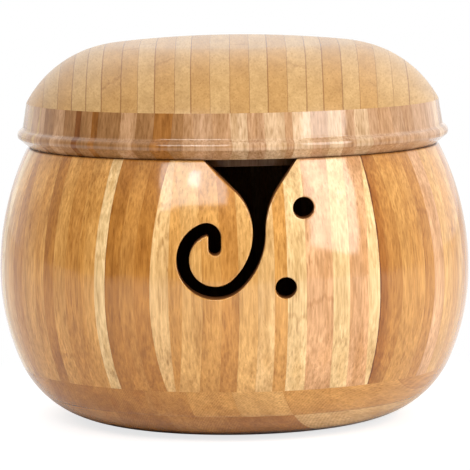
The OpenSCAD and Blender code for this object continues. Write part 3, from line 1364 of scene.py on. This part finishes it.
@dataclass
class Lid:
    """Lift-off lid: a ring of boards with a bead, and a dome turned from one board."""

    bowl: BowlForm
    form: LidForm
    rows: dict[int, list[Strip]]
    dome_row: list[Strip]
    dome_first: float = -74.4
    joint: float = 38.5
    boards: int = 7
    strip_t: float = 5.6
    strips: int = 12
    unseen_seed: int = 70
    # Radius within which the lip gets painted shade.
    lip_shade_within: float = 58.0

    @property
    def lip_r(self) -> float:
        """Outer radius of the lip, which drops into the mouth with some play."""
        inner = self.bowl.upper_r - self.bowl.wall_t
        rise = self.bowl.mouth_h - self.bowl.belly_h
        mouth = self.bowl.belly_r - self.bowl.upper_r + math.sqrt(inner ** 2 - rise ** 2)
        return mouth - self.form.lip_play

    def ring_stretches(self) -> list[list[Spot]]:
        """Lay out the half section of the rim ring.

        Returns:
            Its smooth runs.
        """
        form, seat, step = self.form, self.bowl.mouth_h, 0.25
        lip_in, lip_low = self.lip_r - form.lip_t, seat - form.lip_h
        top, bead_h = seat + form.ring_h, seat + form.bead_rise
        bead_x, cove_x = form.bead_reach - form.bead_r, form.ring_low_r + form.cove_r
        cove_h = bead_h + math.sqrt((form.bead_r + form.cove_r) ** 2 - (cove_x - bead_x) ** 2)
        meet = math.degrees(math.atan2(cove_h - bead_h, cove_x - bead_x))
        bead = arc(bead_x, bead_h, form.bead_r, form.bead_from, meet, 1, step)
        cove = arc(cove_x, cove_h, form.cove_r, 180 + meet, 180, -1, step)
        corners = [(lip_in, lip_low), (self.lip_r, lip_low), (self.lip_r, seat),
                   (self.bowl.mouth_r - self.bowl.ease / 2, seat), bead[0][:2]]
        rest = [(form.ring_low_r, cove_h), (form.ring_top_r, top), (lip_in, top),
                (lip_in, lip_low)]
        return [*map(line, corners, corners[1:]), bead + cove[1:], *map(line, rest, rest[1:])]

    def dome_stretches(self) -> list[list[Spot]]:
        """Lay out the half section of the dome.

        Returns:
            Its smooth runs.
        """
        form, top, step = self.form, self.bowl.mouth_h + self.form.ring_h, 3.0
        x, z, lean = form.shoulder(top)
        crown_h, meet = form.top_h - form.crown_r, 90 - lean
        inside_r, lip_in = form.shoulder_r - form.dome_t, self.lip_r - form.lip_t
        foot = math.degrees(math.asin((top - z) / form.shoulder_r))
        reach = math.degrees(math.acos((lip_in - x) / inside_r))
        outside = arc(x, z, form.shoulder_r, foot, meet, 1)
        outside += arc(0.0, crown_h, form.crown_r, meet, 90, 1, step)[1:]
        hollow = arc(0.0, crown_h, form.crown_r - form.dome_t, 90, meet, -1, step)
        hollow += arc(x, z, inside_r, meet, reach, -1)[1:]
        return [
            outside,
            line((0.0, form.top_h), (0.0, form.top_h - form.dome_t)),
            hollow,
            line(hollow[-1][:2], (lip_in, top)),
            line((lip_in, top), outside[0][:2]),
        ]

    def build(self) -> None:
        """Build the ring and the dome."""
        choice = [Tone.TAN, Tone.DUST, Tone.OAT, Tone.MOCHA, Tone.PALE]
        for index in range(self.boards):
            draw = random.Random(self.unseen_seed + index)
            strips = self.rows.get(index) or [
                (self.strip_t, draw.choice(choice)) for _ in range(self.strips)]
            finish = LaminatedBamboo(
                f"laminated bamboo, rim board {index + 1}", strips,
                -sum(strip[0] for strip in strips) / 2,
                turn=self.joint + (index - 0.5) * 360 / self.boards, streaks=0.2,
                lip_shade_within=self.lip_shade_within, seed=30 + index).build()
            board = Board(f"rim_{index + 1}" if index else "rim_front")
            board.turn(self.ring_stretches(), *sector(self.joint, self.boards, index))
            stand_for(board.build([finish]), board.node, "lid")
        finish = LaminatedBamboo(
            "laminated bamboo, lid dome", self.dome_row, self.dome_first, lying=True, glue=0.3,
            glue_depth=0.62, streaks=0.2, stains=0.15, wander=0.15, mottle=0.5, seed=50,
            lacquer=Lacquer(coat_roughness=0.24, coat=0.85)).build()
        board = Board("lid_top")
        board.turn(self.dome_stretches(), 0, 360)
        stand_for(board.build([finish]), board.node, "lid")


@dataclass(frozen=True)
class SoftBox:
    """Lamp with a white face that looks at the box."""

    name: str
    place: Point
    size: tuple[float, float]
    watts: float
    roll: float = 0.0


def facing(place: Point, target: Point, roll: float) -> Matrix:
    """Work out how a lamp or camera stands.

    Args:
        place: Where it stands.
        target: What it looks at.
        roll: Turn about the way it looks, in degrees.

    Returns:
        Its matrix.
    """
    look = Vector(target) - Vector(place)
    turn = look.to_track_quat("-Z", "Y").to_matrix().to_4x4()
    return Matrix.Translation(place) @ turn @ Matrix.Rotation(math.radians(roll), 4, "Z")


@dataclass
class Studio:
    """White floor and room, soft boxes and the camera."""

    distance: float = 1.070
    height: float = 0.170
    aim: float = 0.059
    roll: float = math.degrees(-0.0125)
    lens: float = 253.5
    shift: tuple[float, float] = (0.002, -0.003)
    front_glow: float = 0.16
    backdrop_glow: float = 1.0
    ceiling_glow: float = 0.75
    right_glow: float = 0.45
    lamp_aim: float = 0.06
    lamps: tuple[SoftBox, ...] = (
        SoftBox("left soft box", (-0.33, -0.8, 0.72), (0.62, 0.36), 4.5, 8),
        SoftBox("left bulb", (-0.33, -0.8, 0.76), (0.1, 0.1), 0.35),
        SoftBox("right soft box", (0.9, -0.7, 0.6), (0.56, 0.8), 8.6, -12),
    )
    floor_side: float = 4.0
    floor_gap: float = 0.2 * MM
    paper: float = 0.85
    paper_lift: float = 0.5
    shadow_reach: tuple[float, float] = (0.05, 0.15)

    def build_camera(self) -> None:
        """Set up the camera and make it the scene's own."""
        lens = bpy.data.cameras.new("studio camera")
        lens.lens = self.lens
        lens.sensor_width = 36.0
        lens.shift_x, lens.shift_y = self.shift
        camera = bpy.data.objects.new("studio camera", lens)
        camera.matrix_world = facing(
            (0.0, -self.distance, self.height), (0.0, 0.0, self.aim), self.roll)
        bpy.context.scene.collection.objects.link(camera)
        bpy.context.scene.camera = camera

    def build_lamps(self) -> None:
        """Hang the soft boxes."""
        for box in self.lamps:
            data = bpy.data.lights.new(box.name, "AREA")
            data.shape = "RECTANGLE"
            data.size, data.size_y = box.size
            data.energy = box.watts
            lamp = bpy.data.objects.new(box.name, data)
            lamp.matrix_world = facing(box.place, (0.0, 0.0, self.lamp_aim), box.roll)
            bpy.context.scene.collection.objects.link(lamp)

    def build_floor(self) -> None:
        """Lay the white floor that takes the shadow, and is clear when seen from below."""
        side, low = self.floor_side, -self.floor_gap
        mesh = bpy.data.meshes.new("white floor")
        mesh.from_pydata([(-side, -side, low), (side, -side, low), (side, side, low),
                          (-side, side, low)], [], [(0, 1, 2, 3)])
        floor = bpy.data.objects.new("white floor", mesh)
        bpy.context.scene.collection.objects.link(floor)
        material = bpy.data.materials.new("white paper sweep")
        sheet = Sheet(material)
        seen = sheet.add("LightPath").outputs["Is Camera Ray"]
        place = sheet.add("TexCoord").outputs["Object"]
        fade = sheet.span(sheet.vectors("LENGTH", place)["Value"], *self.shadow_reach,
                          self.paper_lift, 1.0)
        paper = sheet.add("BsdfDiffuse", {"Color": (self.paper,) * 3 + (1.0,)})
        lift = sheet.add("Emission", {"Color": WHITE, "Strength": sheet.maths(
            "MULTIPLY", seen, self.paper_lift)})
        both = sheet.add("AddShader", {0: paper.outputs[0], 1: lift.outputs[0]})
        white = sheet.add("Emission", {"Color": WHITE, "Strength": 1.0})
        shown = sheet.add("MixShader", {
            0: sheet.maths("MULTIPLY", fade, seen), 1: both.outputs[0], 2: white.outputs[0]})
        clear = sheet.add("BsdfTransparent")
        under = sheet.add("MixShader", {
            0: sheet.add("NewGeometry").outputs["Backfacing"], 1: shown.outputs[0],
            2: clear.outputs[0]})
        sheet.add("OutputMaterial", {"Surface": under.outputs[0]})
        mesh.materials.append(material)

    def build_room(self) -> None:
        """Light the room from behind, above and the right, and show it white to the camera."""
        world = bpy.data.worlds.new("white room")
        bpy.context.scene.world = world
        sheet = Sheet(world)
        seen = sheet.add("LightPath").outputs["Is Camera Ray"]
        right, behind, above = sheet.add("SeparateXYZ", {
            0: sheet.add("TexCoord").outputs["Generated"]}).outputs
        glow: object = self.front_glow
        for way, low, most in ((right, 0.2, self.right_glow), (behind, -0.1, self.backdrop_glow),
                               (above, 0.3, self.ceiling_glow)):
            glow = sheet.maths("ADD", sheet.span(way, low, 0.9, 0.0, most), glow)
        room = sheet.add("Background", {"Color": WHITE, "Strength": glow})
        backdrop = sheet.add("Background", {"Color": WHITE, "Strength": 1.0})
        shown = sheet.add("MixShader", {0: seen, 1: room.outputs[0], 2: backdrop.outputs[0]})
        sheet.add("OutputWorld", {"Surface": shown.outputs[0]})

    def build(self) -> None:
        """Set up the whole studio."""
        self.build_room()
        self.build_lamps()
        self.build_floor()
        self.build_camera()
        bpy.context.scene.view_settings.view_transform = "Standard"


def strips_of(text: str) -> list[Strip]:
    """Read a row of strips.

    Args:
        text: Thickness and tone of each strip, from left to right.

    Returns:
        The strips.
    """
    words = text.split()
    return [(float(thick), Tone[tone]) for thick, tone in zip(words[::2], words[1::2])]


WALL_ROWS = {
    FRONT: (-34.1, strips_of("""
        5.1 GOLD 5.9 HONEY 5.6 GOLD 5.2 AMBER 5.7 HONEY 5.1 STRAW 4.0 GOLD 6.1 CREAM 8.5 ROSE
        5.5 CREAM 6.3 ROSE 4.9 CREAM""")),
    LEFT: (-34.0, strips_of("""
        7.5 AMBER 8.2 GOLD 4.7 GOLD 4.7 RUST 5.5 GOLD 5.4 AMBER 6.7 GOLD 3.8 CREAM 5.1 RUST
        4.9 AMBER 4.9 RUST 6.4 STRAW""")),
    RIGHT: (-33.6, strips_of("""
        3.6 RUST 5.6 AMBER 5.6 GOLD 5.3 GOLD 5.2 AMBER 6.3 ROSE 6.4 HONEY 5.7 GOLD 5.7 HONEY
        5.6 AMBER 5.6 GOLD 7.0 HONEY""")),
}
"""First edge and strips of the wall's boards."""

RIM_ROWS = {
    FRONT: strips_of("""
        3.9 TAN 5.4 DUST 5.2 TAN 5.0 PALE 5.2 DUST 6.3 PALE 2.4 TAN 6.0 PALE 5.6 DUST 4.6 PALE
        4.6 DUST 6.0 PALE"""),
    LEFT: strips_of("""
        5.6 TAN 5.6 MOCHA 5.6 TAN 5.6 MOCHA 2.4 UMBER 4.6 MOCHA 2.6 WALNUT 8.6 MOCHA 5.6 TAN
        5.6 MOCHA 5.6 WALNUT 5.6 MOCHA"""),
    RIGHT: strips_of("""
        5.6 DUST 5.6 TAN 5.6 DUST 5.6 TAN 5.6 DUST 5.6 TAN 5.6 DUST 5.6 PALE 5.6 TAN 5.6 DUST
        5.6 TAN"""),
}
"""Strips of the rim ring's boards."""

DOME_ROW = strips_of("""
    9.0 WHEAT 5.5 WHEAT 5.1 OAT 4.7 WHEAT 4.6 OAT 4.9 OAT 6.2 WHEAT 5.2 WHEAT 5.3 OAT 6.2 WHEAT
    4.9 OAT 5.9 WHEAT 6.1 OAT 5.9 WHEAT 5.7 OAT 6.0 WHEAT 5.9 OAT 5.2 OAT 5.9 WHEAT 5.5 OAT
    5.6 WHEAT 5.2 OAT 5.3 OAT 9.0 OAT 9.0 OAT""")
"""Strips of the dome."""

BASE_ROWS = {
    "lower_ply_left": [Tone.AMBER, Tone.RUST, Tone.AMBER],
    "lower_ply_middle": [Tone.RUST, Tone.AMBER, Tone.RUST],
    "lower_ply_right": [Tone.STRAW, Tone.CREAM],
    "upper_ply_left": [Tone.GOLD, Tone.AMBER, Tone.RUST],
    "upper_ply_middle": [Tone.RUST, Tone.AMBER, Tone.GOLD, Tone.HONEY],
    "upper_ply_right": [Tone.GOLD, Tone.AMBER],
}
"""Tones across each board of the base."""


def main() -> None:
    """Build the whole scene."""
    logging.basicConfig(level=logging.INFO)
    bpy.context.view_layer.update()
    bowl = BowlForm()
    wall = Wall(bowl, WALL_ROWS)
    wall.build()
    FrontBoard(wall, SlotForm()).build()
    Base(bowl, BASE_ROWS).build()
    Lid(bowl, LidForm(), RIM_ROWS, DOME_ROW).build()
    Studio().build()


if __name__ == "__main__":
    main()
